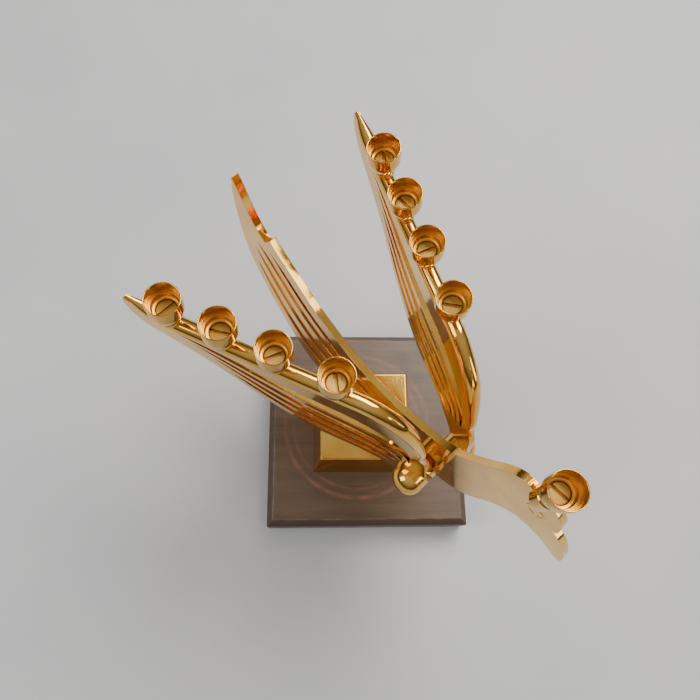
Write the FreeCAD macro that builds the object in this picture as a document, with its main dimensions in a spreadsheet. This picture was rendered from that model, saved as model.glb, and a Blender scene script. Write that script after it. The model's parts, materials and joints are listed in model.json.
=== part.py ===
import FreeCAD, Part
import math
import os
import re

import Sketcher
from FreeCAD import Placement, Rotation, Vector

# A nine-branched menorah in the form of a bird.  A square wooden plinth carries a tapered brass
# pedestal; a flat bird-shaped brass plate stands on the pedestal; two slotted wings are held to
# it by round shoulder bosses; eight candle cups stand on the wing bars and the ninth, the
# shamash, on the bird's crown.
#
# Frame: origin at the centre of the underside, Z up, X and Y along the sides of the plinth.
# The bird looks along its own X axis, which is turned by bird_yaw from the frame's X.
# Wings are modelled upright in a frame of their own: X forward along the wing, Y across its
# thickness, Z up, with the origin where the wing's middle plane crosses the shoulder axis.

os.makedirs("parts", exist_ok=True)
doc = FreeCAD.newDocument("bird_menorah")

SIZES = [
    # plinth and felt
    ("plinth_side", 100.0), ("plinth_thick", 16.5), ("plinth_chamfer", 3.0),
    ("felt_thick", 1.5), ("felt_margin", 3.0),
    # pedestal: a square frustum, standing slightly off the middle of the plinth
    ("pedestal_foot", 50.5), ("pedestal_top", 43.5), ("pedestal_rise", 18.0),
    ("pedestal_bevel", 0.8), ("pedestal_x", -2.0), ("pedestal_y", 1.5),
    # screws and washers that hold the pedestal from below
    ("base_screw_radius", 2.5), ("base_screw_length", 20.0), ("base_screw_spacing", 24.0),
    ("base_head_radius", 4.5), ("base_head_thick", 3.4), ("washer_radius", 5.0),
    ("washer_thick", 1.0), ("counterbore_depth", 6.0), ("counterbore_radius", 5.5),
    ("base_slot_width", 1.4), ("base_slot_depth", 1.6), ("base_hole_play", 0.3),
    # bird plate
    ("bird_yaw", -47.0), ("body_length", 169.0), ("body_height", 123.0), ("body_thick", 3.0),
    ("tongue_length", 24.0), ("tongue_depth", 8.0),
    ("eye_radius", 3.7), ("eye_line", 1.0), ("eye_depth", 0.5),
    # wings
    ("wing_length_left", 124.5), ("wing_length_right", 115.5), ("wing_height", 74.8),
    ("wing_thick", 2.4), ("bar_half", 3.1), ("tip_rise_left", 2.5), ("tip_rise_right", 6.5),
    ("wing_sweep", 22.6), ("wing_lean_left", 2.9), ("wing_lean_right", 0.9),
    ("wing_pitch", 0.85), ("wing_stagger", 2.8), ("seat_radius", 2.95), ("seat_rise", 0.4),
    # shoulders
    ("shoulder_radius", 7.0), ("shoulder_middle_left", 13.6), ("shoulder_middle_right", 9.2),
    ("shoulder_past_wing_left", 6.5), ("shoulder_past_wing_right", 9.5),
    ("shoulder_round", 6.0), ("shoulder_bevel", 1.4), ("root_depth", 4.0),
    ("pin_radius", 2.0), ("pin_depth", 5.5),
    # candle cups and their screws
    ("cup_radius", 6.15), ("cup_height", 14.4), ("cup_bevel", 0.2), ("cup_shoulder", 5.6),
    ("cup_round", 18.0), ("foot_radius", 3.9), ("foot_rise", 1.5), ("foot_bevel", 0.35),
    ("candle_radius", 5.6), ("candle_depth", 5.0), ("step_radius", 4.7), ("step_depth", 2.5),
    ("screw_radius", 2.0), ("screw_length", 8.6), ("screw_bevel", 0.3), ("head_radius", 3.5),
    ("head_thick", 2.6), ("slot_width", 1.2), ("slot_depth", 1.1), ("screw_play", 0.15),
    # the rows of cups: from the shoulder to the foremost cup, the first gap and the others,
    # and how far the cups tilt inwards from the plane of their wing
    ("row_front_left", 35.8), ("row_front_right", 38.5), ("row_first_gap", 21.6),
    ("row_gap", 19.4), ("cup_tilt_left", 4.4), ("cup_tilt_right", 2.2),
    # collar that straddles the crown and takes the shamash cup's screw
    ("collar_radius", 4.3), ("collar_rise", 4.6), ("collar_saddle", 4.2), ("collar_bevel", 0.4),
]

sheet = doc.addObject("Spreadsheet::Sheet", "sizes")
for row, (alias, value) in enumerate(SIZES, start=1):
    sheet.set("A%d" % row, alias)
    sheet.set("B%d" % row, str(value))
    sheet.setAlias("B%d" % row, alias)
doc.recompute()
ALIAS = re.compile(r"\b(" + "|".join(alias for alias, _ in SIZES) + r")\b")


def size(alias):
    """The value of one driving dimension."""
    return float(sheet.get(alias))


def bind(obj, **expressions):
    """Ties properties of an object to the sheet; in the text, a size is written by its name."""
    for name, text in expressions.items():
        obj.setExpression(name, cells(text))


def cells(text):
    """Puts the sheet's name before every alias in an expression."""
    return ALIAS.sub(r"sizes.\1", text)


# ---------------------------------------------------------------- where the groups stand

FLOOR_TO_PLINTH = size("felt_thick")
PLINTH_TOP = FLOOR_TO_PLINTH + size("plinth_thick")
PEDESTAL_TOP = PLINTH_TOP + size("pedestal_rise")
Z_AXIS = Vector(0, 0, 1)
X_AXIS = Vector(1, 0, 0)
Y_AXIS = Vector(0, 1, 0)

pedestal_at = Vector(size("pedestal_x"), size("pedestal_y"), PLINTH_TOP)
bird_turn = Rotation(Z_AXIS, size("bird_yaw"))
BIRD = Placement(Vector(pedestal_at.x, pedestal_at.y, PEDESTAL_TOP), bird_turn)

# Outlines are written as per cent of the body's or the wing's length and height.
SHOULDER_AT = (23.2, 27.6)
CROWN_AT = (41.0, 91.5)
EYE_AT = (42.8, 79.7)

LEFT, RIGHT = 1, -1


def body_point(share):
    """A point of the bird plate's outline in its sketch, from shares of length and height."""
    return Vector(share[0] * size("body_length"), share[1] * size("body_height"), 0) / 100


def sided(name, side):
    """The name of the size that belongs to this side of the bird."""
    return name + ("_left" if side == LEFT else "_right")


def wing_point(side, share):
    """A point of a wing's outline in its sketch, from shares of length and height."""
    length = size(sided("wing_length", side))
    return Vector(share[0] * length, share[1] * size("wing_height"), 0) / 100


def shoulder_hub(side):
    """The middle of a shoulder's axis on the bird's middle plane."""
    return body_point(SHOULDER_AT) + Vector(side * size("wing_stagger"), 0, 0)


def wing_frame(side):
    """Placement of a wing's own frame; side is LEFT or RIGHT of the bird."""
    hub = shoulder_hub(side)
    turn = Rotation(Z_AXIS, -side * size("wing_sweep"))
    lean = Rotation(X_AXIS, side * size(sided("wing_lean", side)))
    pitch = Rotation(Y_AXIS, -size("wing_pitch"))
    at = Vector(hub.x, side * size(sided("shoulder_middle", side)), hub.y)
    return BIRD * Placement(at, turn * lean * pitch)


# ---------------------------------------------------------------- helpers

def make_body(name, placement=None):
    body = doc.addObject("PartDesign::Body", name)
    body.Label = name
    if placement is not None:
        body.Placement = placement
    return body


def sketch_on(body, role, name, lift=None):
    """A sketch on one of the body's own origin planes; lift is an expression for its offset."""
    plane = [item for item in body.Origin.OriginFeatures if item.Role == role][0]
    sketch = body.newObject("Sketcher::SketchObject", name)
    sketch.AttachmentSupport = [(plane, "")]
    sketch.MapMode = "FlatFace"
    if lift:
        sketch.setExpression("AttachmentOffset.Base.z", cells(lift))
    return sketch


def add_polygon(sketch, corners):
    """A closed polygon whose every corner is bound to a pair of expressions."""
    first = len(sketch.Geometry)
    count = len(corners)
    guess = [Vector(math.cos(turn), math.sin(turn), 0)
             for turn in (2 * math.pi * step / count for step in range(count))]
    for index in range(count):
        sketch.addGeometry(Part.LineSegment(guess[index], guess[(index + 1) % count]), False)
    for index in range(count):
        following = first + (index + 1) % count
        sketch.addConstraint(Sketcher.Constraint("Coincident", first + index, 2, following, 1))
    for index, corner in enumerate(corners):
        for kind, text, value in zip(("DistanceX", "DistanceY"), corner, guess[index][:2]):
            number = sketch.addConstraint(
                Sketcher.Constraint(kind, -1, 1, first + index, 1, value))
            sketch.setExpression("Constraints[%d]" % number, cells(text))


def add_circle(sketch, radius, centre=("0", "0")):
    """A circle with its radius and centre bound to expressions."""
    number = sketch.addGeometry(Part.Circle(Vector(1, 1, 0), Z_AXIS, 1), False)
    index = sketch.addConstraint(Sketcher.Constraint("Radius", number, 1.0))
    sketch.setExpression("Constraints[%d]" % index, cells(radius))
    for kind, text in zip(("DistanceX", "DistanceY"), centre):
        index = sketch.addConstraint(Sketcher.Constraint(kind, -1, 1, number, 3, 1.0))
        sketch.setExpression("Constraints[%d]" % index, cells(text))


def spline(points, start=None, finish=None):
    """A smooth curve through points, with its end directions where they matter."""
    curve = Part.BSplineCurve()
    if start and finish:
        curve.interpolate(Points=points, InitialTangent=start, FinalTangent=finish)
    else:
        curve.interpolate(Points=points)
    return curve


def add_chain(sketch, curves):
    """A closed chain of curves whose ends already meet."""
    first = len(sketch.Geometry)
    for curve in curves:
        sketch.addGeometry(curve, False)
    last = len(sketch.Geometry) - 1
    for index in range(first, last + 1):
        following = first if index == last else index + 1
        sketch.addConstraint(Sketcher.Constraint("Coincident", index, 2, following, 1))


def lines_through(points):
    return [Part.LineSegment(here, there) for here, there in zip(points, points[1:])]


def fan_point(low, high, station, share):
    """A point between two guide curves; station counts along the guides' own points."""
    index = min(int(station), len(low) - 2)
    part = station - index
    below = low[index] + (low[index + 1] - low[index]) * part
    above = high[index] + (high[index + 1] - high[index]) * part
    return below + (above - below) * share


def add_slot(sketch, low, high, floor, roof, begin, end):
    """A long slot between two shares of the fan, drawn to a point at both ends."""
    steps = 6
    middle = (floor + roof) / 2
    nose = fan_point(low, high, begin, middle)
    tail = fan_point(low, high, end, middle)
    between = [begin + (end - begin) * step / steps for step in range(1, steps)]
    upper = [nose] + [fan_point(low, high, at, roof) for at in between] + [tail]
    lower = [tail] + [fan_point(low, high, at, floor) for at in reversed(between)] + [nose]
    add_chain(sketch, [spline(upper), spline(lower)])


def feature(body, kind, name, sketch, **expressions):
    """Adds one sketch-based feature to a body, bound to the sheet."""
    item = body.newObject("PartDesign::" + kind, name)
    item.Profile = sketch
    bind(item, **expressions)
    return item


def plate(body, name, sketch, thickness):
    """A flat plate about the sketch plane."""
    item = feature(body, "Pad", name, sketch, Length=thickness)
    item.Midplane = True
    return item


def cut_through(body, name, sketch):
    """Cuts a sketch right through a body, both ways."""
    item = feature(body, "Pocket", name, sketch)
    item.Type = 1
    item.Midplane = True
    return item


def turned(name, profile, placement):
    """A turned piece: its half profile, radius and height, revolved about its own Z."""
    body = make_body(name, placement)
    sketch = sketch_on(body, "XZ_Plane", name + "_profile")
    add_polygon(sketch, profile)
    turn = feature(body, "Revolution", name + "_turn", sketch)
    turn.ReferenceAxis = (sketch, ["V_Axis"])
    turn.Angle = 360
    return body


def dress_edges(body, kind, name, chosen, **expressions):
    """A fillet or chamfer along the edges of a body for which chosen(edge) is true."""
    doc.recompute()
    base = body.Tip
    names = ["Edge%d" % number for number, edge in enumerate(base.Shape.Edges, start=1)
             if chosen(edge)]
    dressing = body.newObject("PartDesign::" + kind, name)
    dressing.Base = (base, names)
    bind(dressing, **expressions)


def is_above(edge, height):
    """True for an edge that lies wholly at or over this height."""
    return min(vertex.Z for vertex in edge.Vertexes) > height - 1e-4


def is_circle(edge, radius, height):
    """True for a circle of this radius at this height on a turned piece."""
    curve = edge.Curve
    if not isinstance(curve, Part.Circle):
        return False
    return abs(curve.Radius - radius) < 1e-4 and abs(curve.Center.z - height) < 1e-4


def cut_with(name, base, tools):
    """The base with every tool taken out of it."""
    if len(tools) == 1:
        tool = tools[0]
    else:
        tool = doc.addObject("Part::MultiFuse", name + "_tools")
        tool.Shapes = tools
    cut = doc.addObject("Part::Cut", name)
    cut.Label = name
    cut.Base = base
    cut.Tool = tool
    return cut


parts = []

# ---------------------------------------------------------------- plinth, felt and pedestal

def square(side):
    """Corners of a centred square, as expressions."""
    half = "%s / 2" % side
    return [("-(%s)" % half, "-(%s)" % half), (half, "-(%s)" % half), (half, half),
            ("-(%s)" % half, half)]


def across_bird(distance):
    """A place under the pedestal, this far to the bird's left of its middle."""
    return bird_turn.multVec(Vector(0, distance, 0)) + Vector(pedestal_at.x, pedestal_at.y, 0)


def rod(name, radius, length, placement):
    item = doc.addObject("Part::Cylinder", name)
    bind(item, Radius=radius, Height=length)
    item.Placement = placement
    return item


screw_places = [across_bird(sign * size("base_screw_spacing") / 2) for sign in (LEFT, RIGHT)]
washer_bottom = FLOOR_TO_PLINTH + size("counterbore_depth") - size("washer_thick")

felt = make_body("felt_pad")
felt_outline = sketch_on(felt, "XY_Plane", "felt_outline")
add_polygon(felt_outline, square("(plinth_side - 2 * felt_margin)"))
feature(felt, "Pad", "felt_sheet", felt_outline, Length="felt_thick")
parts.append(felt)

board = make_body("plinth_board", Placement(Vector(0, 0, FLOOR_TO_PLINTH), Rotation()))
board_outline = sketch_on(board, "XY_Plane", "board_outline")
add_polygon(board_outline, square("plinth_side"))
feature(board, "Pad", "board_block", board_outline, Length="plinth_thick")
dress_edges(board, "Chamfer", "board_chamfer",
            lambda edge: is_above(edge, size("plinth_thick")), Size="plinth_chamfer")
board_cuts = []
for number, place in enumerate(screw_places, start=1):
    bottom = Placement(Vector(place.x, place.y, FLOOR_TO_PLINTH), Rotation())
    board_cuts.append(rod("plinth_bore_%d" % number, "base_screw_radius + base_hole_play",
                          "plinth_thick", bottom))
    board_cuts.append(rod("plinth_counterbore_%d" % number, "counterbore_radius",
                          "counterbore_depth", bottom))
parts.append(cut_with("plinth", board, board_cuts))

block = make_body("pedestal_block", Placement(pedestal_at, Rotation()))
block_foot = sketch_on(block, "XY_Plane", "block_foot")
add_polygon(block_foot, square("pedestal_foot"))
block_shoulder = sketch_on(block, "XY_Plane", "block_shoulder",
                           lift="pedestal_rise - pedestal_bevel")
add_polygon(block_shoulder, square("pedestal_top"))
block_top = sketch_on(block, "XY_Plane", "block_top", lift="pedestal_rise")
add_polygon(block_top, square("(pedestal_top - 2 * pedestal_bevel)"))
block_loft = feature(block, "AdditiveLoft", "block_loft", block_foot)
block_loft.Sections = [block_shoulder, block_top]
block_loft.Ruled = True

tongue_slot = doc.addObject("Part::Box", "tongue_slot")
bind(tongue_slot, Length="tongue_length", Width="body_thick", Height="tongue_depth")
tongue_corner = Vector(-size("tongue_length") / 2, -size("body_thick") / 2, -size("tongue_depth"))
tongue_slot.Placement = BIRD * Placement(tongue_corner, Rotation())
block_cuts = [tongue_slot]
for number, place in enumerate(screw_places, start=1):
    bottom = Placement(Vector(place.x, place.y, PLINTH_TOP), Rotation())
    thread = "base_screw_length + counterbore_depth - washer_thick - plinth_thick"
    block_cuts.append(rod("pedestal_thread_%d" % number, "base_screw_radius", thread, bottom))
parts.append(cut_with("pedestal", block, block_cuts))


def slotted_screw(name, placement, radius, length, head_radius, head_thick, slot_width,
                  slot_depth):
    """A slotted cheese-head screw; its own origin is under the head, its thread runs down."""
    body = turned(name, [
        ("0", "-(%s)" % length), ("%s - screw_bevel" % radius, "-(%s)" % length),
        (radius, "screw_bevel - %s" % length), (radius, "0"), (head_radius, "0"),
        (head_radius, "%s - screw_bevel" % head_thick),
        ("%s - screw_bevel" % head_radius, head_thick), ("0", head_thick)], placement)
    sketch = sketch_on(body, "XY_Plane", name + "_slot_outline", lift=head_thick)
    reach = "%s + screw_bevel" % head_radius
    half = "%s / 2" % slot_width
    add_polygon(sketch, [("-(%s)" % reach, "-(%s)" % half), (reach, "-(%s)" % half),
                         (reach, half), ("-(%s)" % reach, half)])
    feature(body, "Pocket", name + "_slot", sketch, Length=slot_depth)
    return body


for number, place in enumerate(screw_places, start=1):
    upside_down = Placement(Vector(place.x, place.y, washer_bottom), Rotation(X_AXIS, 180))
    parts.append(slotted_screw(
        "pedestal_screw_%d" % number, upside_down, "base_screw_radius", "base_screw_length",
        "base_head_radius", "base_head_thick", "base_slot_width", "base_slot_depth"))
    washer_at = Placement(Vector(place.x, place.y, washer_bottom), Rotation())
    inner = "base_screw_radius + base_hole_play"
    parts.append(turned("pedestal_washer_%d" % number, [
        (inner, "0"), ("washer_radius", "0"), ("washer_radius", "washer_thick"),
        (inner, "washer_thick")], washer_at))

# ---------------------------------------------------------------- bird plate

BACK_TAIL = [(-44.7, 100.0), (-42.8, 94.3), (-41.3, 89.0), (-39.2, 83.3), (-36.3, 78.5)]
BACK = [(-34.5, 82.4), (-29.9, 75.4), (-26.0, 70.6), (-21.3, 64.6), (-15.4, 59.2), (-7.1, 53.3),
        (1.8, 51.2), (11.2, 52.3), (18.3, 55.8), (23.4, 60.0), (27.4, 68.3), (30.9, 79.3),
        (33.7, 88.2), (36.1, 91.8)]
FACE = [(46.0, 89.0), (47.8, 84.2), (48.6, 78.7)]
BEAK = [(47.9, 77.6), (50.9, 74.6), (53.5, 69.1), (55.1, 63.8), (55.3, 60.7)]
THROAT = [(54.6, 60.2), (51.8, 61.8), (48.2, 63.6), (45.0, 63.6), (42.0, 61.6), (39.6, 57.0),
          (37.3, 49.5), (35.1, 40.6), (32.4, 32.0), (28.6, 26.2), (24.3, 22.8), (19.8, 17.5),
          (15.7, 9.3), (11.8, 0.0)]
VENT = [(-11.8, 0.0), (-17.8, 5.9), (-23.4, 10.2), (-28.0, 17.3), (-32.0, 25.2), (-35.5, 32.9),
        (-38.7, 42.1), (-41.6, 51.6), (-43.8, 61.8), (-45.0, 74.8), (-45.4, 87.8), (-44.7, 100.0)]

# Guides for the long slots of tail and flank, and each slot as shares between them with its
# first and last station.
TAIL_LOW = [(-44.1, 65.0), (-39.8, 48.0), (-34.6, 33.3), (-28.1, 19.9), (-19.8, 11.8),
            (-10.7, 10.2), (0.0, 17.9), (9.5, 36.6)]
TAIL_HIGH = [(-38.8, 79.7), (-33.4, 77.2), (-27.2, 68.7), (-19.5, 58.9), (-10.9, 52.0),
             (-1.2, 47.8), (5.3, 46.3), (11.8, 43.9)]
TAIL_SLOTS = [(0.12, 0.24, 0.6, 5.6), (0.38, 0.50, 0.3, 6.0), (0.63, 0.74, 0.2, 6.4),
              (0.84, 0.92, 0.8, 6.8)]

bird = make_body("bird_body", BIRD)
bird_outline = sketch_on(bird, "XZ_Plane", "bird_outline")
crown = body_point(CROWN_AT)
seat_rear = crown - Vector(size("collar_radius"), 0, 0)
seat_front = crown + Vector(size("collar_radius"), 0, 0)
back_tail = [body_point(at) for at in BACK_TAIL]
back = [body_point(at) for at in BACK] + [seat_rear]
face = [seat_front] + [body_point(at) for at in FACE]
beak = [body_point(at) for at in BEAK]
throat = [body_point(at) for at in THROAT]
vent = [body_point(at) for at in VENT]
tongue_half = size("tongue_length") / 2
tongue = [throat[-1], Vector(tongue_half, 0, 0), Vector(tongue_half, -size("tongue_depth"), 0),
          Vector(-tongue_half, -size("tongue_depth"), 0), Vector(-tongue_half, 0, 0), vent[0]]
add_chain(bird_outline, [spline(back_tail)] + lines_through([back_tail[-1], back[0]])
          + [spline(back)] + lines_through([seat_rear, seat_front]) + [spline(face)]
          + lines_through([face[-1], beak[0]]) + [spline(beak)]
          + lines_through([beak[-1], throat[0]]) + [spline(throat)]
          + lines_through(tongue) + [spline(vent)])
plate(bird, "bird_plate", bird_outline, "body_thick")
bird_slots = sketch_on(bird, "XZ_Plane", "bird_slot_outlines")
tail_low = [body_point(at) for at in TAIL_LOW]
tail_high = [body_point(at) for at in TAIL_HIGH]
for floor, roof, begin, end in TAIL_SLOTS:
    add_slot(bird_slots, tail_low, tail_high, floor, roof, begin, end)
cut_through(bird, "bird_slots", bird_slots)
bird_holes = sketch_on(bird, "XZ_Plane", "pin_hole_outlines")
for sign in ("+", "-"):
    add_circle(bird_holes, "pin_radius + screw_play",
               ("body_length * %s / 100 %s wing_stagger" % (SHOULDER_AT[0], sign),
                "body_height * %s / 100" % SHOULDER_AT[1]))
cut_through(bird, "pin_holes", bird_holes)
eye_cell = ("body_length * %s / 100" % EYE_AT[0], "body_height * %s / 100" % EYE_AT[1])
for face_name, lift, inward in (("right", "body_thick / 2", False),
                                ("left", "-body_thick / 2", True)):
    ring = sketch_on(bird, "XZ_Plane", "eye_ring_" + face_name, lift=lift)
    add_circle(ring, "eye_radius", eye_cell)
    add_circle(ring, "eye_radius - eye_line", eye_cell)
    groove = feature(bird, "Pocket", "eye_groove_" + face_name, ring, Length="eye_depth")
    groove.Reversed = inward
parts.append(bird)

collar_at = BIRD * Placement(Vector(crown.x, 0, crown.y), Rotation())
collar_blank = turned("collar_turning", [
    ("screw_radius", "-collar_saddle"), ("collar_radius - collar_bevel", "-collar_saddle"),
    ("collar_radius", "collar_bevel - collar_saddle"),
    ("collar_radius", "collar_rise - collar_bevel"),
    ("collar_radius - collar_bevel", "collar_rise"), ("screw_radius", "collar_rise")], collar_at)
saddle = doc.addObject("Part::Box", "collar_saddle_cut")
bind(saddle, Length="4 * collar_radius", Width="body_thick", Height="2 * collar_saddle")
saddle_corner = Vector(-2 * size("collar_radius"), -size("body_thick") / 2,
                       -2 * size("collar_saddle"))
saddle.Placement = collar_at * Placement(saddle_corner, Rotation())
parts.append(cut_with("crown_collar", collar_blank, [saddle]))

# ---------------------------------------------------------------- shoulders

def shoulder_pin(side, name):
    """The pin that holds a shoulder: flush with the body's far face, its end in the shoulder."""
    hub = shoulder_hub(side)
    far_face = Vector(hub.x, -side * size("body_thick") / 2, hub.y)
    return rod(name, "pin_radius", "body_thick + pin_depth",
               BIRD * Placement(far_face, Rotation(X_AXIS, -side * 90)))


def shoulder(side, name):
    """A turned boss from the body's face outwards, slotted for the wing's root."""
    hub = shoulder_hub(side)
    outward = Rotation(X_AXIS, -side * 90)
    face_at = Vector(hub.x, side * size("body_thick") / 2, hub.y)
    middle, past_wing = sided("shoulder_middle", side), sided("shoulder_past_wing", side)
    reach = middle + " + " + past_wing + " - body_thick / 2"
    blank = turned(name + "_turning", [
        ("pin_radius", "0"), ("shoulder_radius - shoulder_bevel", "0"),
        ("shoulder_radius", "shoulder_bevel"), ("shoulder_radius", reach), ("0", reach),
        ("0", "pin_depth"), ("pin_radius", "pin_depth")], BIRD * Placement(face_at, outward))
    end = size(middle) + size(past_wing) - size("body_thick") / 2
    dress_edges(blank, "Fillet", name + "_dome",
                lambda edge: is_circle(edge, size("shoulder_radius"), end),
                Radius="shoulder_round")
    slot = doc.addObject("Part::Box", name + "_slot")
    bind(slot, Length="6 * shoulder_radius", Width="wing_thick",
         Height="root_depth + 2 * shoulder_radius")
    corner = Vector(-3 * size("shoulder_radius"), -size("wing_thick") / 2, -size("root_depth"))
    slot.Placement = wing_frame(side) * Placement(corner, Rotation())
    return cut_with(name, blank, [slot])


for side, side_name in ((LEFT, "left"), (RIGHT, "right")):
    parts.append(shoulder_pin(side, "shoulder_pin_" + side_name))
    parts.append(shoulder(side, "shoulder_" + side_name))

# ---------------------------------------------------------------- wings

# The bar's middle line, with the share of its full half-width that it has there: the tip, a
# level stretch between, and the leading edge.  Heights are those of the bar's crest; the last
# number is the share of the tip's rise that is added.
BAR_TIP = [(-100.0, 100.0, 0.20, 1.0), (-95.6, 100.0, 0.62, 0.5), (-92.0, 100.0, 0.90, 0.15),
           (-88.8, 100.0, 1.0, 0.0), (-86.0, 100.0, 1.0, 0.0)]
BAR_FRONT = [(-27.5, 100.0, 1.0, 0.0), (-24.3, 100.0, 1.0, 0.0), (-20.0, 98.2, 1.0, 0.0),
             (-16.1, 94.9, 1.0, 0.0), (-12.3, 90.2, 1.0, 0.0), (-8.9, 83.7, 0.92, 0.0),
             (-6.2, 75.7, 0.78, 0.0), (-4.0, 67.0, 0.62, 0.0), (-1.7, 54.3, 0.48, 0.0),
             (0.2, 44.0, 0.40, 0.0)]
EDGE = [(-4.8, -5.5), (-6.8, 2.0), (-12.5, 7.6), (-19.5, 11.8), (-28.0, 12.6), (-37.0, 13.2),
        (-46.0, 18.5), (-55.0, 28.0), (-64.0, 40.5), (-73.5, 55.5), (-82.0, 66.0),
        (-90.0, 73.5), (-96.0, 79.5), (-99.2, 87.0)]
FRONT = [(1.7, 36.0), (3.1, 24.0), (4.1, 10.0), (4.5, -5.5)]
WING_LOW = [(-91.8, 77.5), (-82.0, 69.0), (-73.5, 58.5), (-64.0, 43.5), (-55.0, 31.0),
            (-46.0, 21.5), (-37.0, 16.2), (-28.0, 15.2), (-19.5, 14.0), (-12.0, 10.5),
            (-5.2, 5.5)]
WING_HIGH = [(-88.0, 90.4), (-77.0, 90.4), (-68.0, 90.4), (-58.0, 90.4), (-48.0, 90.4),
             (-39.0, 90.4), (-30.0, 90.4), (-22.0, 88.5), (-14.0, 82.0), (-7.5, 64.0),
             (-1.5, 30.0)]
WING_SLOTS = [(0.05, 0.15, 2.3, 9.2), (0.22, 0.32, 1.6, 9.4), (0.39, 0.50, 0.9, 9.6),
              (0.58, 0.74, 0.3, 9.8)]


def bar_middle(side, stations):
    """Points along the middle of the bar, a bar's half below its crest."""
    rise = size(sided("tip_rise", side))
    return [wing_point(side, at) + Vector(0, at[3] * rise - size("bar_half"), 0)
            for at in stations]


def add_bar_end(body, side, name, stations):
    """A curved end of the bar, lofted through circles square to its middle line."""
    middle = bar_middle(side, stations)
    sections = []
    for index, at in enumerate(middle):
        before = middle[max(index - 1, 0)]
        after = middle[min(index + 1, len(middle) - 1)]
        along = after - before
        sketch = sketch_on(body, "YZ_Plane", "%s_section_%d" % (name, index))
        pitch = math.degrees(math.atan2(along.y, along.x))
        sketch.AttachmentOffset = Placement(Vector(0, at.y, at.x), Rotation(X_AXIS, -pitch))
        add_circle(sketch, "bar_half * %s" % stations[index][2])
        sections.append(sketch)
    loft = feature(body, "AdditiveLoft", name, sections[0])
    loft.Sections = sections[1:]


def add_bar_level(body, side, name):
    """The level stretch of the bar, between its two curved ends."""
    rear, front = BAR_TIP[-1][0], BAR_FRONT[0][0]
    along = sided("wing_length", side) + " * %s / 100"
    sketch = sketch_on(body, "YZ_Plane", name + "_section", lift=along % rear)
    add_circle(sketch, "bar_half", ("0", "wing_height - bar_half"))
    feature(body, "Pad", name, sketch, Length=along % (front - rear))


def cup_row(side):
    """Places of a wing's four cups along its bar, the foremost first."""
    front = -size(sided("row_front", side))
    return [front] + [front - size("row_first_gap") - step * size("row_gap")
                      for step in range(3)]


def seat_at(side, along):
    """Placement of a cup's seat on the bar, in the wing's frame: level, but for its tilt."""
    tilt = Rotation(X_AXIS, side * size(sided("cup_tilt", side)))
    return Placement(Vector(along, 0, size("wing_height") + size("seat_rise")), tilt)


def wing(side, name):
    body = make_body(name, wing_frame(side))
    outline = sketch_on(body, "XZ_Plane", name + "_outline")
    tip = bar_middle(side, BAR_TIP)
    front = bar_middle(side, BAR_FRONT)
    root_z = -size("root_depth")
    leading = [front[-1]] + [wing_point(side, at) for at in FRONT[:-1]]
    leading.append(Vector(wing_point(side, FRONT[-1]).x, root_z, 0))
    edge = [Vector(wing_point(side, EDGE[0]).x, root_z, 0)]
    edge += [wing_point(side, at) for at in EDGE[1:]] + [tip[0]]
    add_chain(outline, [spline(tip)] + lines_through([tip[-1], front[0]]) + [spline(front)]
              + [spline(leading)] + lines_through([leading[-1], edge[0]]) + [spline(edge)])
    plate(body, name + "_plate", outline, "wing_thick")
    slots = sketch_on(body, "XZ_Plane", name + "_slot_outlines")
    low = [wing_point(side, at) for at in WING_LOW]
    high = [wing_point(side, at) for at in WING_HIGH]
    for floor, roof, begin, end in WING_SLOTS:
        add_slot(slots, low, high, floor, roof, begin, end)
    cut_through(body, name + "_slots", slots)
    add_bar_level(body, side, name + "_bar")
    add_bar_end(body, side, name + "_bar_tip", BAR_TIP)
    add_bar_end(body, side, name + "_bar_front", BAR_FRONT)
    seats = sketch_on(body, "XY_Plane", name + "_seat_outlines")
    holes = sketch_on(body, "XY_Plane", name + "_hole_outlines")
    for sketch, radius in ((seats, "seat_radius"), (holes, "screw_radius")):
        sketch.AttachmentOffset = seat_at(side, 0)
        for place in cup_row(side):
            add_circle(sketch, radius, ("%.9f" % place, "0"))
    seat_pads = feature(body, "Pad", name + "_seats", seats, Length="seat_rise + 0.8 * bar_half")
    seat_pads.Reversed = True
    feature(body, "Pocket", name + "_threads", holes, Length=SCREW_INTO_BAR)
    return body


SCREW_INTO_BAR = "screw_length - cup_height + candle_depth + step_depth + head_thick"
for side, side_name in ((LEFT, "left"), (RIGHT, "right")):
    parts.append(wing(side, "wing_" + side_name))

# ---------------------------------------------------------------- cups and their screws

SCREW_SEAT = "(cup_height - candle_depth - step_depth - head_thick)"


def candle_cup(name, placement):
    """A turned cup: foot, rounded bowl, candle bore, step, and a seat for its screw."""
    hole = "screw_radius + screw_play"
    recess = "head_radius + screw_play"
    ledge = "cup_height - candle_depth"
    floor = "cup_height - candle_depth - step_depth"
    body = turned(name, [
        (hole, "0"), ("foot_radius - foot_bevel", "0"), ("foot_radius", "foot_bevel"),
        ("foot_radius", "foot_rise"), ("foot_radius - foot_bevel", "foot_rise + foot_bevel"),
        ("foot_radius", "foot_rise + 2 * foot_bevel"),
        ("cup_radius", "cup_height - cup_shoulder"), ("cup_radius", "cup_height - cup_bevel"),
        ("cup_radius - cup_bevel", "cup_height"), ("candle_radius + cup_bevel", "cup_height"),
        ("candle_radius", "cup_height - cup_bevel"), ("candle_radius", ledge),
        ("step_radius", ledge), ("step_radius", floor), (recess, floor), (recess, SCREW_SEAT),
        (hole, SCREW_SEAT)], placement)
    bend = size("cup_height") - size("cup_shoulder")
    dress_edges(body, "Fillet", name + "_bowl",
                lambda edge: is_circle(edge, size("cup_radius"), bend), Radius="cup_round")
    return body


# How far each screw's slot ended up turned, from the foremost cup to the last.
SLOT_TURNS = {LEFT: (57, 90, 23, 162), RIGHT: (120, 47, 10, 69)}
SHAMASH_TURN = 3
screw_lift = size("cup_height") - size("candle_depth") - size("step_depth") - size("head_thick")


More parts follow.
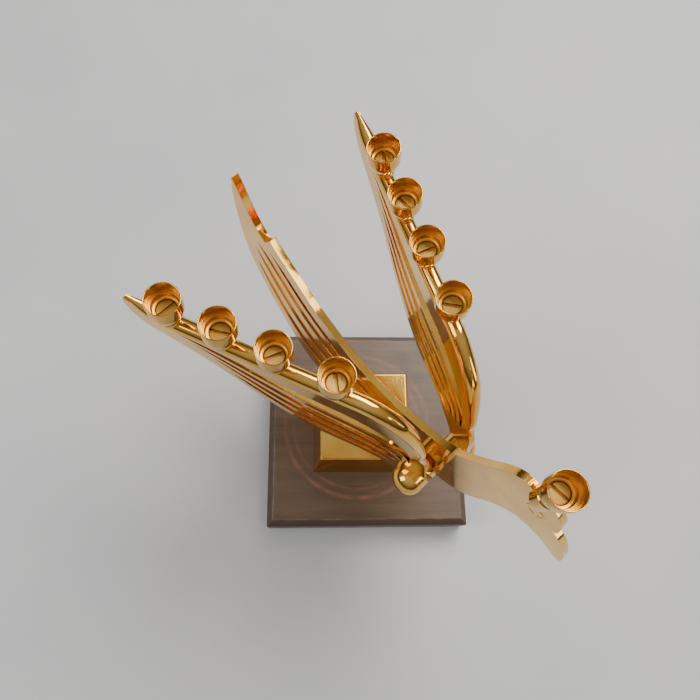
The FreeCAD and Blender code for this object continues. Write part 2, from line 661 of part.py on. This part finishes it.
def add_cup(name, seat, turn):
    """One cup and its screw, standing on a seat."""
    parts.append(candle_cup("cup_" + name, seat))
    screw_at = seat * Placement(Vector(0, 0, screw_lift), Rotation(Z_AXIS, turn))
    parts.append(slotted_screw("cup_screw_" + name, screw_at, "screw_radius", "screw_length",
                               "head_radius", "head_thick", "slot_width", "slot_depth"))


for side, side_name in ((LEFT, "left"), (RIGHT, "right")):
    for number, place in enumerate(cup_row(side), start=1):
        seat = wing_frame(side) * seat_at(side, place)
        add_cup("%s_%d" % (side_name, number), seat, SLOT_TURNS[side][number - 1])
collar_top = collar_at * Placement(Vector(0, 0, size("collar_rise")), Rotation())
add_cup("shamash", collar_top, SHAMASH_TURN)

# ---------------------------------------------------------------- checks and export

doc.recompute()
for item in doc.Objects:
    if "Invalid" in item.State or "Error" in item.State:
        raise RuntimeError("%s did not build: %s" % (item.Label, item.State))
for item in parts:
    if item.Shape.isNull() or not item.Shape.isValid():
        raise RuntimeError("%s has no valid shape" % item.Label)
for item in parts:
    item.Shape.exportStep("parts/%s.step" % item.Label)
print("pieces:", len(parts))
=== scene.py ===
import json
import math

import bmesh
import bpy
from mathutils import Matrix, Vector, noise


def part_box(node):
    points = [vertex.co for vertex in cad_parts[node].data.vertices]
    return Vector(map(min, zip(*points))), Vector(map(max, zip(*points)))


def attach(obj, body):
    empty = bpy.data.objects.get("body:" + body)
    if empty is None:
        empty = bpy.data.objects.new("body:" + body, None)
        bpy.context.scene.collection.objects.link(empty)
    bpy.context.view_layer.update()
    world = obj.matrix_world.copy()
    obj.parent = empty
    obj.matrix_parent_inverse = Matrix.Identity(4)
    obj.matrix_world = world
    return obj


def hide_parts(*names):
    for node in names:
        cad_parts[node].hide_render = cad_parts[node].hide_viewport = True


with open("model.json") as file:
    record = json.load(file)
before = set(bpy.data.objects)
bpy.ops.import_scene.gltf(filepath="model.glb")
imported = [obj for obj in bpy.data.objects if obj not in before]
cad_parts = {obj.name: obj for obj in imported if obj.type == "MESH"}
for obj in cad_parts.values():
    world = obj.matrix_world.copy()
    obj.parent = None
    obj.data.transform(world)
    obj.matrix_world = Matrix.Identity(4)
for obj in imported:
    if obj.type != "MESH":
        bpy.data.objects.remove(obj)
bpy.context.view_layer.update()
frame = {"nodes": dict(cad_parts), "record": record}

MOUNTS = {mount["name"]: mount for mount in frame["record"]["mounts"]}
CUPS = ["%s_%d" % (side, number) for side in ("left", "right") for number in range(1, 5)]
CUPS.append("shamash")

# Lengths here and in the pieces are in millimetres; times MM they are the scene's metres.
MM = 0.001
PLINTH_TOP = 18.0
PLINTH_ARRIS = 47.0
RUBBED_RING_AT = (-4.6, 0.5)
RUBBED_RINGS = ((37.0, 1.5, 0.9), (32.6, 1.0, 0.7))
CUP_FOOT_TO_BORE = 11.8
BIRD_AT = Vector((-2.0, 1.5, 36.0))
BIRD_YAW = Matrix.Rotation(math.radians(-47), 4, "Z")
EYE_ALONG, EYE_HEIGHT, BIRD_HALF_THICK = 72.33, 98.03, 1.5
WIRE_SECTION = [(2.72, -0.3, 0), (2.72, 0.0, 0), (2.80, 0.09, 0), (2.98, 0.16, 0),
                (3.2, 0.18, 0), (3.42, 0.16, 0), (3.60, 0.09, 0), (3.68, 0.0, 0),
                (3.68, -0.3, 0)]
WIRE_SEGMENTS = 64
FLOOR_HALF_M = 1.6

# How CAD meshes are read: corners this close are one, in metres; a face this large is a flat
# one that keeps its own normal, in square metres; and the angles of hard edges, in degrees.
WELD = 2e-6
BROAD_FACE = 60e-6
HARD_EDGE = 30
ROUNDED_EDGE = 34
EDGE_OF_FLAT = 1.0
ALMOST_FLAT = 0.4


# ---------------------------------------------------------------- node materials

class Paint:
    """A procedural material and its node tree, with short ways to add and join nodes."""

    def __init__(self, name):
        self.material = bpy.data.materials.new(name)
        self.material.use_nodes = True
        self.tree = self.material.node_tree
        self.shader = self.tree.nodes["Principled BSDF"]
        self.coord = self.tree.nodes.new("ShaderNodeTexCoord").outputs["Object"]

    def node(self, kind, **inputs):
        """A new node of a kind, with its inputs set or joined by name."""
        made = self.tree.nodes.new("ShaderNode" + kind)
        for name, value in inputs.items():
            self.put(made.inputs[name.replace("_", " ")], value)
        return made

    def put(self, socket, value):
        """Joins a socket to an input, or sets the input to a plain value."""
        if isinstance(value, bpy.types.NodeSocket):
            self.tree.links.new(value, socket)
        else:
            socket.default_value = value

    def maths(self, operation, first, second=0.0):
        """The outcome of one Math node."""
        made = self.tree.nodes.new("ShaderNodeMath")
        made.operation = operation
        self.put(made.inputs[0], first)
        self.put(made.inputs[1], second)
        return made.outputs[0]

    def noise(self, scale, detail=4.0, stretch=(1, 1, 1), rough=0.5, distortion=0.0):
        """Noise in object space, in cycles per metre; stretch scales the coordinates."""
        mapped = self.node("Mapping", Vector=self.coord, Scale=stretch)
        made = self.node("TexNoise", Vector=mapped.outputs[0], Scale=scale, Detail=detail,
                         Roughness=rough, Distortion=distortion)
        return made.outputs[0]

    def ramp(self, value, low, high, out_low=0.0, out_high=1.0):
        """Maps value from low..high to out_low..out_high, held at both ends."""
        made = self.tree.nodes.new("ShaderNodeMapRange")
        for index, number in enumerate((value, low, high, out_low, out_high)):
            self.put(made.inputs[index], number)
        return made.outputs[0]

    def mix(self, share, first, second):
        """A colour between two colours, each a triple or a socket."""
        made = self.tree.nodes.new("ShaderNodeMix")
        made.data_type = "RGBA"
        self.put(made.inputs[0], share)
        for socket, value in ((made.inputs[6], first), (made.inputs[7], second)):
            self.put(socket, value if isinstance(value, bpy.types.NodeSocket) else (*value, 1))
        return made.outputs[2]

    def bump(self, height, depth, under=None):
        """A normal raised by height, at most depth metres deep, over the normal under it."""
        made = self.node("Bump", Height=height, Distance=depth, Strength=1.0)
        if under is not None:
            self.put(made.inputs["Normal"], under)
        return made.outputs[0]

    def finish(self, **inputs):
        """Sets or joins the shader's inputs by name, and gives the material."""
        for name, value in inputs.items():
            self.put(self.shader.inputs[name.replace("_", " ")], value)
        return self.material


def brass(name, bright, deep, rough, waves, scratches, grit=0.0):
    """Polished brass: two tones, a range of roughness, waves and grit in mm, and how rubbed."""
    paint = Paint(name)
    tone = paint.ramp(paint.noise(38, 3, distortion=0.6), 0.36, 0.66)
    spots = paint.ramp(paint.noise(620, 3, rough=0.65), 0.60, 0.76, 0, 0.25)
    colour = paint.mix(spots, paint.mix(tone, deep, bright), tuple(0.62 * c for c in deep))
    along = paint.noise(900, 2, stretch=(1, 1, 0.03))
    across = paint.noise(760, 2, stretch=(0.05, 0.06, 1))
    rubs = paint.ramp(paint.maths("MULTIPLY", along, across), 0.30, 0.42)
    cloud = paint.ramp(paint.noise(95, 4, rough=0.6), 0.35, 0.7, rough[0], rough[1])
    roughness = paint.maths("ADD", cloud, paint.maths("MULTIPLY", rubs, 0.12 * scratches))
    rounded = paint.node("Bevel", Radius=0.28 * MM)
    rounded.samples = 6
    normal = paint.bump(paint.noise(46, 2), waves * MM, under=rounded.outputs[0])
    normal = paint.bump(rubs, 0.0006 * scratches * MM, under=normal)
    if grit:
        normal = paint.bump(paint.noise(2600, 3, rough=0.7), grit * MM, under=normal)
    return paint.finish(Base_Color=colour, Metallic=1.0, Roughness=roughness, Normal=normal)


def turned_brass(name, bright, deep, rough, ring_depth):
    """Brass from a lathe: its fine rings follow the run of the profile, kept in each vertex.
    Down the bore it is satin, so rougher and more deeply ringed, and its colour there is
    darkened as painted shade, more the deeper it goes.
    """
    paint = Paint(name)
    lathe = paint.tree.nodes.new("ShaderNodeAttribute")
    lathe.attribute_name = "along_profile"
    along = lathe.outputs["Fac"]
    steps = paint.node("TexNoise", Scale=1.0, Detail=2.0, Roughness=0.6)
    steps.noise_dimensions = "1D"
    paint.put(steps.inputs["W"], paint.maths("MULTIPLY", along, 5200.0))
    rings = steps.outputs[0]
    inside = paint.tree.nodes.new("ShaderNodeAttribute")
    inside.attribute_name = "satin_and_shade"
    satin_and_shade = inside.outputs["Fac"]
    patch = paint.ramp(paint.noise(260, 4, rough=0.6), 0.35, 0.68)
    colour = paint.mix(patch, deep, bright)
    # Painted shade: the colour is darkened towards deep down the bore, as far as the satin value
    # reaches.
    colour = paint.mix(paint.maths("MULTIPLY", satin_and_shade, 0.4), colour, deep)
    base = paint.ramp(paint.noise(180, 3), 0.3, 0.7, rough[0], rough[1])
    roughness = paint.maths("ADD", base, paint.maths("MULTIPLY", satin_and_shade, 0.22))
    depth = paint.maths("ADD", paint.maths("MULTIPLY", satin_and_shade, 0.96), 0.04)
    normal = paint.bump(paint.maths("MULTIPLY", rings, depth), ring_depth * MM)
    normal = paint.bump(paint.noise(1500, 2), 0.004 * MM, under=normal)
    return paint.finish(Base_Color=colour, Metallic=1.0, Roughness=roughness, Normal=normal)


def steel(name):
    """Plain zinc-plated steel for what is hidden or seen only by its end."""
    paint = Paint(name)
    cloud = paint.noise(300, 4)
    colour = paint.mix(paint.ramp(cloud, 0.35, 0.7), (0.36, 0.36, 0.37), (0.62, 0.62, 0.60))
    normal = paint.bump(paint.noise(1800, 2, stretch=(1, 1, 0.2)), 0.01 * MM)
    return paint.finish(Base_Color=colour, Metallic=1.0,
                        Roughness=paint.ramp(cloud, 0.3, 0.7, 0.25, 0.42), Normal=normal)


def stained_wood(name):
    """Dark low-gloss wood with a rubbed ring marked on its top, painted shade on the chamfer and
    the sides below it, darkest from the chamfer's foot down, and a painted highlight along the
    top arris.
    """
    paint = Paint(name)
    bands = paint.noise(210, 5, stretch=(0.07, 1, 1), rough=0.62, distortion=0.5)
    pores = paint.ramp(paint.noise(1500, 3, stretch=(0.035, 1, 1)), 0.60, 0.74)
    colour = paint.mix(paint.ramp(bands, 0.32, 0.70), (0.084, 0.050, 0.028),
                       (0.124, 0.078, 0.045))
    colour = paint.mix(paint.maths("MULTIPLY", pores, 0.45), colour, (0.040, 0.025, 0.015))
    split = paint.node("SeparateXYZ", Vector=paint.coord)
    x, y, z = split.outputs
    aside = paint.maths("SUBTRACT", x, RUBBED_RING_AT[0] * MM)
    ahead = paint.maths("SUBTRACT", y, RUBBED_RING_AT[1] * MM)
    far = paint.maths("SQRT", paint.maths("ADD", paint.maths("MULTIPLY", aside, aside),
                                          paint.maths("MULTIPLY", ahead, ahead)))
    worn = paint.ramp(paint.noise(120, 4), 0.38, 0.62, 0.25, 1.0)
    near_side = paint.ramp(y, -30 * MM, -5 * MM, 1.0, 0.35)
    ring = None
    for radius, width, strength in RUBBED_RINGS:
        gap = paint.maths("ABSOLUTE", paint.maths("SUBTRACT", far, radius * MM))
        line = paint.ramp(gap, 0.2 * width * MM, width * MM, strength, 0.0)
        ring = line if ring is None else paint.maths("MAXIMUM", ring, line)
    top = paint.ramp(z, (PLINTH_TOP - 0.10) * MM, (PLINTH_TOP - 0.03) * MM)
    ring = paint.maths("MULTIPLY", paint.maths("MULTIPLY", ring, worn),
                       paint.maths("MULTIPLY", near_side, top))
    colour = paint.mix(ring, colour, (0.25, 0.105, 0.07))
    # Painted highlight: a lighter line along the top arris, broken up by noise.
    reach = paint.maths("MAXIMUM", paint.maths("ABSOLUTE", x), paint.maths("ABSOLUTE", y))
    arris = paint.maths("ABSOLUTE", paint.maths("SUBTRACT", reach, PLINTH_ARRIS * MM))
    arris = paint.ramp(arris, 0.10 * MM, 0.45 * MM, 0.55, 0.0)
    arris = paint.maths("MULTIPLY", arris, paint.ramp(paint.noise(160, 3), 0.35, 0.6))
    colour = paint.mix(arris, colour, (0.26, 0.20, 0.15))
    # Painted shade: the chamfer and the sides below it are darkened, most from the chamfer's
    # foot down.
    slope = paint.ramp(z, (PLINTH_TOP - 3.1) * MM, (PLINTH_TOP - 0.2) * MM, 0.55, 0.35)
    slope = paint.maths("MULTIPLY", slope, paint.maths("SUBTRACT", 1.0, top))
    colour = paint.mix(slope, colour, (0.024, 0.015, 0.010))
    rough = paint.ramp(paint.noise(85, 4, rough=0.6), 0.35, 0.7, 0.36, 0.52)
    rough = paint.maths("SUBTRACT", rough, paint.maths("MULTIPLY", ring, 0.08))
    normal = paint.bump(bands, 0.03 * MM)
    normal = paint.bump(paint.maths("SUBTRACT", 1.0, pores), 0.02 * MM, under=normal)
    return paint.finish(Base_Color=colour, Roughness=rough, Normal=normal, Coat_Weight=0.12,
                        Coat_Roughness=0.28)


def felt_cloth(name):
    """Nearly black wool felt: short crossed fibres over soft tufts."""
    paint = Paint(name)
    fibres = paint.noise(2400, 5, rough=0.75, distortion=1.5)
    tufts = paint.noise(420, 3)
    colour = paint.mix(paint.ramp(fibres, 0.35, 0.68), (0.010, 0.011, 0.012),
                       (0.045, 0.047, 0.050))
    normal = paint.bump(fibres, 0.12 * MM)
    normal = paint.bump(tufts, 0.10 * MM, under=normal)
    return paint.finish(Base_Color=colour, Roughness=paint.ramp(tufts, 0.3, 0.7, 0.88, 0.98),
                        Normal=normal, Sheen_Weight=0.5, Sheen_Roughness=0.5)


def floor_paper(name):
    """The pale, slightly cloudy paper that the object stands on."""
    paint = Paint(name)
    cloud = paint.noise(9, 4)
    colour = paint.mix(paint.ramp(cloud, 0.3, 0.7), (0.50, 0.51, 0.53), (0.56, 0.57, 0.58))
    return paint.finish(Base_Color=colour, Roughness=paint.ramp(cloud, 0.3, 0.7, 0.55, 0.65),
                        Normal=paint.bump(paint.noise(700, 3), 0.05 * MM))


LOOKS = {
    "felt": felt_cloth("felt_cloth"),
    "wood": stained_wood("stained_wood"),
    "brass_pedestal": brass("brass_pedestal", (0.90, 0.56, 0.13), (0.78, 0.42, 0.08),
                            (0.09, 0.17), 0.010, 0.8),
    "brass_plate": brass("brass_plate", (0.90, 0.55, 0.13), (0.78, 0.41, 0.075),
                         (0.06, 0.12), 0.016, 0.6),
    "brass_boss": brass("brass_boss", (0.90, 0.54, 0.12), (0.77, 0.40, 0.07),
                        (0.05, 0.13), 0.008, 0.8),
    "brass_cup": turned_brass("brass_cup", (0.86, 0.51, 0.10), (0.70, 0.36, 0.055),
                              (0.07, 0.15), 0.02),
    # Painted shade: the cup screws' brass is darker than the rest, as they sit at the foot of
    # the bore.
    "brass_screw": brass("brass_screw", (0.60, 0.36, 0.10), (0.42, 0.23, 0.055),
                         (0.34, 0.48), 0.010, 0.8, grit=0.02),
    "steel_screw": steel("steel_screw"),
}


# ---------------------------------------------------------------- pieces

def show(name, mesh, material_slot, nodes, sharp=None):
    """Makes a piece of a mesh, riding on the object; sharp is the angle of its hard edges."""
    if sharp is not None:
        for polygon in mesh.polygons:
            polygon.use_smooth = True
        mesh.set_sharp_from_angle(angle=math.radians(sharp))
    mesh.materials.clear()
    mesh.materials.append(LOOKS[material_slot])
    piece = bpy.data.objects.new(name, mesh)
    bpy.context.scene.collection.objects.link(piece)
    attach(piece, "root")
    if nodes:
        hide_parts(*nodes)
    return piece


def baked(name, mesh, width=0.0, segments=2):
    """The mesh with its hard edges rounded by width, and its broad flat faces kept flat."""
    draft = bpy.data.objects.new(name + "_draft", mesh)
    bpy.context.scene.collection.objects.link(draft)
    if width:
        bevel = draft.modifiers.new("rounding", "BEVEL")
        bevel.width = width * MM
        bevel.segments = segments
        bevel.limit_method = "ANGLE"
        bevel.angle_limit = math.radians(ROUNDED_EDGE)
        bevel.use_clamp_overlap = True
    evened = draft.modifiers.new("evened_normals", "WEIGHTED_NORMAL")
    evened.mode = "FACE_AREA"
    evened.weight = 50
    evened.keep_sharp = True
    graph = bpy.context.evaluated_depsgraph_get()
    finished = bpy.data.meshes.new_from_object(draft.evaluated_get(graph))
    bpy.data.objects.remove(draft)
    return finished


def opened(node):
    """A copy of a CAD node's mesh, and the same open for editing, welded and smooth."""
    mesh = frame["nodes"][node].data.copy()
    work = bmesh.new()
    work.from_mesh(mesh)
    bmesh.ops.remove_doubles(work, verts=work.verts, dist=WELD)
    for face in work.faces:
        face.smooth = True
    return mesh, work


def softened(node, name, material_slot, width, segments=2):
    """A piece in the shape of a CAD node, with its hard edges rounded off by width."""
    mesh, work = opened(node)
    bmesh.ops.dissolve_limit(work, angle_limit=math.radians(ALMOST_FLAT), verts=work.verts,
                             edges=work.edges)
    work.to_mesh(mesh)
    work.free()
    return show(name, baked(name, mesh, width, segments), material_slot, [node])


def mark_sharp(work):
    """Marks the hard edges, and every edge that bounds a broad flat face."""
    planes, areas = {}, {}
    for face in work.faces:
        offset = face.normal.dot(face.verts[0].co) / MM
        plane = tuple(round(value, 3) for value in face.normal) + (round(offset, 1),)
        planes[face] = plane
        areas[plane] = areas.get(plane, 0.0) + face.calc_area()
    for edge in work.edges:
        if len(edge.link_faces) != 2:
            continue
        one, two = (planes[face] for face in edge.link_faces)
        bounds_flat = one != two and max(areas[one], areas[two]) > BROAD_FACE
        limit = EDGE_OF_FLAT if bounds_flat else HARD_EDGE
        edge.smooth = edge.calc_face_angle(0.0) < math.radians(limit)


def smoothed(node, name, material_slot):
    """A piece in the shape of a CAD node whose curved faces are shaded as smooth ones."""
    mesh, work = opened(node)
    mark_sharp(work)
    work.to_mesh(mesh)
    work.free()
    return show(name, baked(name, mesh), material_slot, [node])


def lathe_mesh(name, profile, place, segments=112):
    """A turned mesh: profile is (radius, height, satin) in mm, closed, where the third value
    also sets the painted shade down the bore; place is its frame.
    """
    verts, faces, along, satin_and_shade = [], [], [], []
    run = 0.0
    before = profile[0]
    for point in profile:
        run += math.hypot(point[0] - before[0], point[1] - before[1]) * MM
        before = point
        for step in range(segments):
            turn = 2 * math.pi * step / segments
            verts.append(place @ Vector((point[0] * math.cos(turn) * MM,
                                         point[0] * math.sin(turn) * MM, point[1] * MM)))
            along.append(run)
            satin_and_shade.append(point[2])
    rings = len(profile)
    for ring in range(rings):
        above = (ring + 1) % rings
        for step in range(segments):
            beside = (step + 1) % segments
            faces.append((ring * segments + step, ring * segments + beside,
                          above * segments + beside, above * segments + step))
    mesh = bpy.data.meshes.new(name)
    mesh.from_pydata(verts, [], faces)
    for title, values in (("along_profile", along), ("satin_and_shade", satin_and_shade)):
        attribute = mesh.attributes.new(title, "FLOAT", "POINT")
        attribute.data.foreach_set("value", values)
    mesh.update()
    return mesh


def cup_profile():
    """The cup's section: from the foot up the outside, over the rim, and down the bore."""
    points = [(2.15, 0.0, 0), (3.5, 0.0, 0), (3.75, 0.08, 0), (3.88, 0.25, 0), (3.9, 0.5, 0),
              (3.9, 1.25, 0), (3.85, 1.5, 0), (3.68, 1.72, 0), (3.6, 1.85, 0), (3.66, 2.0, 0),
              (3.85, 2.2, 0)]
    neck, bowl_start, bowl_swell, bowl_height, bowl_steps = 3.85, 2.2, 2.3, 7.2, 14
    for step in range(1, bowl_steps + 1):
        rise = step / bowl_steps
        points.append((neck + bowl_swell * math.sin(rise * math.pi / 2) ** 1.1,
                       bowl_start + bowl_height * rise, 0))
    points += [(6.15, 11.0, 0), (6.15, 13.9, 0), (6.13, 14.15, 0), (6.07, 14.31, 0),
               (5.97, 14.39, 0), (5.88, 14.4, 0), (5.79, 14.38, 0), (5.70, 14.30, 0),
               (5.63, 14.15, 0), (5.6, 13.9, 0.1), (5.6, 12.2, 0.3), (5.6, 10.6, 0.5)]
    points += [(5.6, 9.55, 0.8), (5.55, 9.42, 1), (5.40, 9.40, 1), (5.36, 9.26, 1),
               (5.22, 9.24, 1), (5.18, 9.36, 1), (5.02, 9.36, 1), (4.98, 9.20, 1),
               (4.84, 9.18, 1), (4.76, 9.30, 1), (4.70, 9.2, 1), (4.70, 8.5, 1),
               (4.62, 8.42, 1), (4.62, 8.2, 1), (4.70, 8.1, 1), (4.70, 7.35, 1),
               (4.60, 7.0, 1), (4.42, 6.9, 1), (4.2, 6.9, 1), (4.1, 6.8, 1), (3.95, 6.8, 1),
               (3.85, 6.9, 1), (3.72, 6.88, 1), (3.65, 6.75, 1)]
    points += [(3.65, 4.4, 1), (3.6, 4.3, 1), (2.2, 4.3, 1), (2.15, 4.25, 1)]
    return points


def cup_place(mount):
    """The frame of a cup, its foot's centre and its axis, from its candle bore's mount."""
    axis = Vector(mount["axis"]).normalized()
    return (Matrix.Translation(Vector(mount["pos_m"]) - axis * CUP_FOOT_TO_BORE * MM)
            @ axis.to_track_quat("Z", "Y").to_matrix().to_4x4())


def felt_mesh(name):
    """The felt pad: a slab with soft, slightly uneven cut edges."""
    low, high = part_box("felt_pad")
    half = Vector(((high.x - low.x) / 2, (high.y - low.y) / 2, 0))
    middle = (low + high) / 2
    per_side, waviness, corner_cut, corner_from = 60, 0.18, 0.7, 1.96
    verts, faces = [], []
    levels = [(0.0, 0.8), (0.04, 0.35), (0.18, 0.1), (0.5, 0.0), (0.82, 0.1), (0.96, 0.35),
              (1.0, 0.8)]
    outline = []
    for side in range(4):
        turn = Matrix.Rotation(side * math.pi / 2, 3, "Z")
        for step in range(per_side):
            along = 2 * step / per_side - 1
            outline.append(turn @ Vector((1, along, 0)))
    for rise, inset in levels:
        for at in outline:
            wave = noise.noise(Vector((at.x * 9, at.y * 9, rise * 1.5)))
            uneven = waviness * (0.5 + 0.5 * wave)
            corner = corner_cut * max(0, abs(at.x) + abs(at.y) - corner_from) / (2 - corner_from)
            shrink = (inset + uneven + corner) * MM
            verts.append(Vector((middle.x + at.x * (half.x - shrink),
                                 middle.y + at.y * (half.y - shrink),
                                 low.z + rise * (high.z - low.z))))
    count = len(outline)
    for level in range(len(levels) - 1):
        for step in range(count):
            beside = (step + 1) % count
            faces.append((level * count + step, level * count + beside,
                          (level + 1) * count + beside, (level + 1) * count + step))
    faces.append(tuple(reversed(range(count))))
    faces.append(tuple(range((len(levels) - 1) * count, len(levels) * count)))
    mesh = bpy.data.meshes.new(name)
    mesh.from_pydata(verts, [], faces)
    mesh.update()
    return mesh


softened("plinth", "plinth_wood", "wood", 0.35, 3)
softened("pedestal", "pedestal_brass", "brass_pedestal", 0.25, 3)
smoothed("bird_body", "bird_plate", "brass_plate")
smoothed("crown_collar", "crown_collar_turned", "brass_boss")
for side in ("left", "right"):
    smoothed("wing_" + side, "wing_plate_" + side, "brass_plate")
    smoothed("shoulder_" + side, "shoulder_boss_" + side, "brass_boss")
    softened("shoulder_pin_" + side, "shoulder_stud_" + side, "steel_screw", 0.15)
for number in ("1", "2"):
    softened("pedestal_screw_" + number, "base_screw_" + number, "steel_screw", 0.1)
    softened("pedestal_washer_" + number, "base_washer_" + number, "steel_screw", 0.1)
show("felt_sheet", felt_mesh("felt_sheet"), "felt", ["felt_pad"], 60)

for cup in CUPS:
    turned = lathe_mesh("turned_cup_" + cup, cup_profile(), cup_place(MOUNTS["candle_" + cup]))
    show("turned_cup_" + cup, turned, "brass_cup", ["cup_" + cup], 50)
    softened("cup_screw_" + cup, "slotted_screw_" + cup, "brass_screw", 0.14)

# A thin half-round wire lies in the eye's groove on each face of the bird.
for side, name in ((1, "left"), (-1, "right")):
    turn = BIRD_YAW @ Matrix.Rotation(math.radians(-90 * side), 4, "X")
    eye = BIRD_YAW @ Vector((EYE_ALONG, BIRD_HALF_THICK * side, EYE_HEIGHT)) + BIRD_AT
    place = Matrix.Translation(eye * MM) @ turn
    wire = lathe_mesh("eye_ring_" + name, WIRE_SECTION, place, WIRE_SEGMENTS)
    show("eye_ring_" + name, wire, "brass_boss", [], 50)


# ---------------------------------------------------------------- studio

def pale_floor(half):
    """A plain square sheet under the object, reaching half its side, in metres, each way."""
    corners = [(-half, -half, 0), (half, -half, 0), (half, half, 0), (-half, half, 0)]
    mesh = bpy.data.meshes.new("floor")
    mesh.from_pydata(corners, [], [(0, 1, 2, 3)])
    mesh.materials.append(floor_paper("floor_paper"))
    floor = bpy.data.objects.new("floor", mesh)
    bpy.context.scene.collection.objects.link(floor)


def soft_light(name, place, target, width, height, power, colour):
    """A softbox of this width and height, turned from its place to its target."""
    lamp = bpy.data.lights.new(name, "AREA")
    lamp.shape = "RECTANGLE"
    lamp.size = width
    lamp.size_y = height
    lamp.energy = power
    lamp.color = colour
    holder = bpy.data.objects.new(name, lamp)
    holder.location = place
    holder.rotation_euler = (Vector(target) - Vector(place)).to_track_quat("-Z", "Y").to_euler()
    bpy.context.scene.collection.objects.link(holder)


def graded_sky(horizon, zenith, strength):
    """A room that is dark at eye level and grows brighter overhead."""
    world = bpy.data.worlds.new("studio")
    world.use_nodes = True
    tree = world.node_tree
    background = tree.nodes["Background"]
    direction = tree.nodes.new("ShaderNodeTexCoord")
    split = tree.nodes.new("ShaderNodeSeparateXYZ")
    tree.links.new(direction.outputs["Generated"], split.inputs[0])
    height = tree.nodes.new("ShaderNodeMapRange")
    height.interpolation_type = "SMOOTHSTEP"
    for index, number in enumerate((0.0, -0.1, 1.0, 0.0, 1.0)):
        height.inputs[index].default_value = number
    tree.links.new(split.outputs["Z"], height.inputs[0])
    shade = tree.nodes.new("ShaderNodeMix")
    shade.data_type = "RGBA"
    shade.inputs[6].default_value = (*horizon, 1)
    shade.inputs[7].default_value = (*zenith, 1)
    tree.links.new(height.outputs[0], shade.inputs[0])
    tree.links.new(shade.outputs[2], background.inputs["Color"])
    background.inputs["Strength"].default_value = strength
    bpy.context.scene.world = world


def camera_above(place, angles, focal_length, sensor):
    """The camera, nearly overhead; angles are its X, Y and Z turns in degrees."""
    lens = bpy.data.cameras.new("camera")
    lens.lens = focal_length
    lens.sensor_width = sensor
    lens.clip_start = 0.01
    camera = bpy.data.objects.new("camera", lens)
    camera.location = place
    camera.rotation_euler = [math.radians(angle) for angle in angles]
    bpy.context.scene.collection.objects.link(camera)
    bpy.context.scene.camera = camera


pale_floor(FLOOR_HALF_M)
soft_light("key", (0.42, 0.52, 0.95), (0, 0, 0.06), 0.8, 0.55, 15, (1.0, 0.97, 0.92))
soft_light("fill", (-0.85, -0.15, 0.75), (0, 0, 0.06), 0.5, 0.7, 4.5, (0.98, 0.98, 1.0))
soft_light("rim", (0.9, -0.5, 0.45), (0, 0, 0.08), 0.25, 0.6, 2.2, (1.0, 0.97, 0.92))
graded_sky((0.065, 0.06, 0.055), (0.62, 0.60, 0.57), 0.9)
camera_above((-0.0256, -0.0682, 0.3497), (18.301, -2.857, -0.692), 33.43, 36.0)

bpy.context.view_layer.update()
